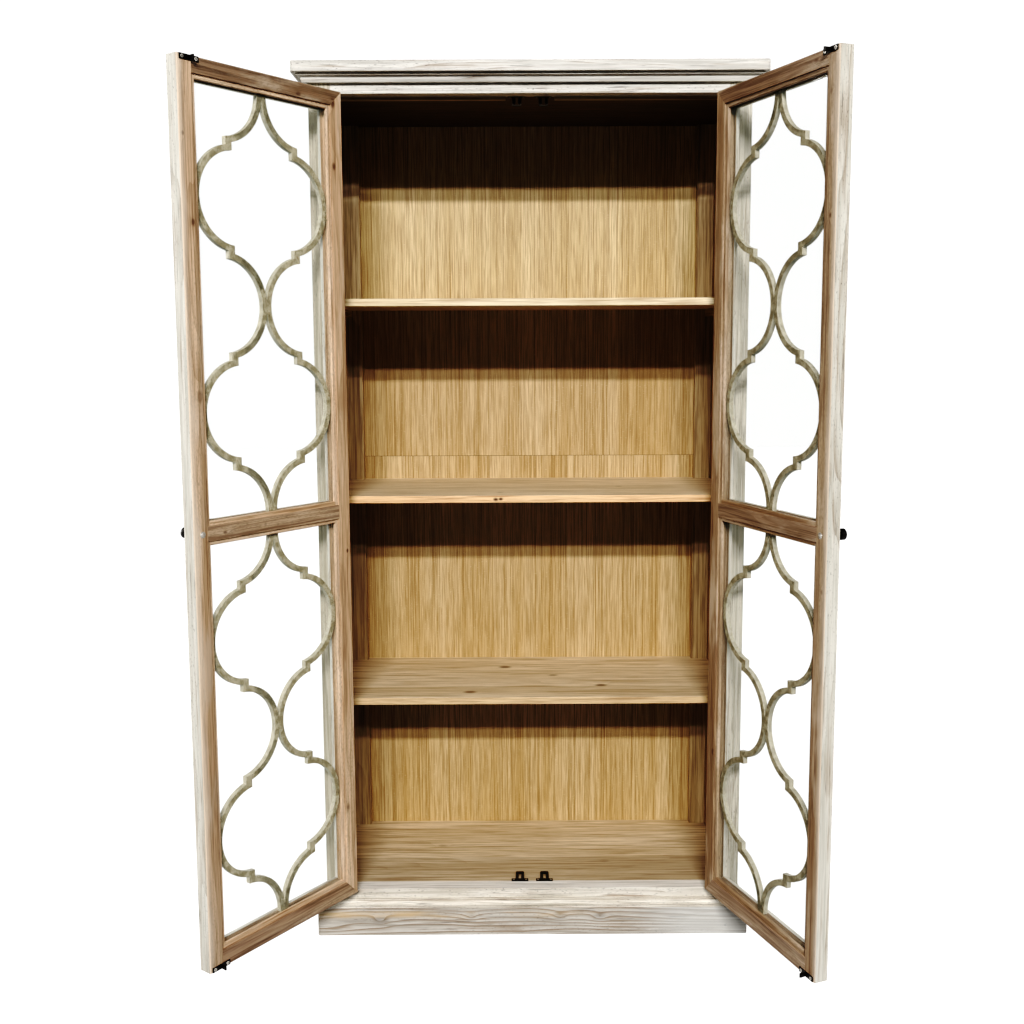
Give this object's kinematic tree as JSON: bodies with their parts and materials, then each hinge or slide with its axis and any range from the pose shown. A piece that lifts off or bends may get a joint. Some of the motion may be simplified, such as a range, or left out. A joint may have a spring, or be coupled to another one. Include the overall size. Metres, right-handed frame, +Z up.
{
  "type": "glazed bookcase",
  "caption": "Tall pine bookcase with stepped cornice and plinth, shelves, and hinged glazed doors backed by sawn fretwork of arcs, with knobs and roller catches.",
  "frame": {"origin": "on the floor, at the centre of the case's width and depth: the middle of the floor bearer's underside lies beside it", "axes": "+Z up, the front faces -Y, +X to the right as seen from the front"},
  "size_m": [1.4437, 0.9035, 2.2],
  "materials": {
    "whitewash": "whitewashed pine, worn and distressed, matt",
    "door_wood": "pine stained brown inside, whitewash worn on the outside",
    "shelf_wood": "waxed knotty pine, satin",
    "back_veneer": "fine straight grain veneer, matt",
    "fret_wood": "taupe stained, front faces whitewashed, matt",
    "glass": "clear sheet glass, faint green",
    "black_iron": "black, satin",
    "steel": "bright steel, satin",
    "roller_plastic": "dark brown, smooth"
  },
  "bodies": {
    "case": {"plinth_front": "whitewash", "plinth_sides": "whitewash", "base_moulding": "whitewash", "floor_bearer": "shelf_wood", "bottom_rail": "whitewash", "face_stile_left": "whitewash", "face_stile_right": "whitewash", "top_rail": "whitewash", "side_panel_left": "whitewash", "side_panel_right": "whitewash", "rear_post_left": "shelf_wood", "rear_post_right": "shelf_wood", "top_panel": "shelf_wood", "floor_panel": "shelf_wood", "shelf_upper": "shelf_wood", "shelf_middle": "shelf_wood", "shelf_lower": "shelf_wood", "shelf_cleats": "shelf_wood", "back_panel_upper": "back_veneer", "back_panel_lower": "back_veneer", "cornice_board": "whitewash", "cornice_mouldings": "whitewash", "door_stop": "shelf_wood", "hinge_frame_leaves": "steel", "hinge_pins": "steel", "catch_housings": "black_iron"},
    "left_door": {"left_door_hinge_stile": "door_wood", "left_door_meeting_stile": "door_wood", "left_door_top_rail": "door_wood", "left_door_mid_rail": "door_wood", "left_door_bottom_rail": "door_wood", "left_door_fretwork_upper": "fret_wood", "left_door_fretwork_lower": "fret_wood", "left_door_glass": "glass", "left_door_glazing_beads": "door_wood", "left_door_knob": "black_iron", "left_door_hinge_leaves": "steel", "left_door_strikes": "black_iron"},
    "right_door": {"right_door_hinge_stile": "door_wood", "right_door_meeting_stile": "door_wood", "right_door_top_rail": "door_wood", "right_door_mid_rail": "door_wood", "right_door_bottom_rail": "door_wood", "right_door_fretwork_upper": "fret_wood", "right_door_fretwork_lower": "fret_wood", "right_door_glass": "glass", "right_door_glazing_beads": "door_wood", "right_door_knob": "black_iron", "right_door_hinge_leaves": "steel", "right_door_strikes": "black_iron"},
    "catch_roller_lower_left_inner": {"catch_roller_lower_left_inner": "roller_plastic"},
    "catch_roller_lower_left_outer": {"catch_roller_lower_left_outer": "roller_plastic"},
    "catch_roller_lower_right_inner": {"catch_roller_lower_right_inner": "roller_plastic"},
    "catch_roller_lower_right_outer": {"catch_roller_lower_right_outer": "roller_plastic"},
    "catch_roller_upper_left_inner": {"catch_roller_upper_left_inner": "roller_plastic"},
    "catch_roller_upper_left_outer": {"catch_roller_upper_left_outer": "roller_plastic"},
    "catch_roller_upper_right_inner": {"catch_roller_upper_right_inner": "roller_plastic"},
    "catch_roller_upper_right_outer": {"catch_roller_upper_right_outer": "roller_plastic"}
  },
  "joints": [
    {"name": "left_door_hinge", "type": "hinge", "parent": "case", "child": "left_door", "pos_m": [-0.483, -0.21075, 1.124], "axis": [0, 0, -1], "range_deg": [-125.8, 44.2]},
    {"name": "right_door_hinge", "type": "hinge", "parent": "case", "child": "right_door", "pos_m": [0.483, -0.21075, 1.124], "axis": [0, 0, 1], "range_deg": [-110.67, 59.33]},
    {"name": "catch_roller_lower_left_inner_spin", "type": "hinge", "parent": "case", "child": "catch_roller_lower_left_inner", "pos_m": [-0.0261, -0.16175, 0.1255], "axis": [0, 0, 1], "continuous": true},
    {"name": "catch_roller_lower_left_outer_spin", "type": "hinge", "parent": "case", "child": "catch_roller_lower_left_outer", "pos_m": [-0.0389, -0.16175, 0.1255], "axis": [0, 0, 1], "continuous": true},
    {"name": "catch_roller_lower_right_inner_spin", "type": "hinge", "parent": "case", "child": "catch_roller_lower_right_inner", "pos_m": [0.0261, -0.16175, 0.1255], "axis": [0, 0, 1], "continuous": true},
    {"name": "catch_roller_lower_right_outer_spin", "type": "hinge", "parent": "case", "child": "catch_roller_lower_right_outer", "pos_m": [0.0389, -0.16175, 0.1255], "axis": [0, 0, 1], "continuous": true},
    {"name": "catch_roller_upper_left_inner_spin", "type": "hinge", "parent": "case", "child": "catch_roller_upper_left_inner", "pos_m": [-0.0261, -0.16175, 2.12], "axis": [0, 0, 1], "continuous": true},
    {"name": "catch_roller_upper_left_outer_spin", "type": "hinge", "parent": "case", "child": "catch_roller_upper_left_outer", "pos_m": [-0.0389, -0.16175, 2.12], "axis": [0, 0, 1], "continuous": true},
    {"name": "catch_roller_upper_right_inner_spin", "type": "hinge", "parent": "case", "child": "catch_roller_upper_right_inner", "pos_m": [0.0261, -0.16175, 2.12], "axis": [0, 0, 1], "continuous": true},
    {"name": "catch_roller_upper_right_outer_spin", "type": "hinge", "parent": "case", "child": "catch_roller_upper_right_outer", "pos_m": [0.0389, -0.16175, 2.12], "axis": [0, 0, 1], "continuous": true}
  ]
}
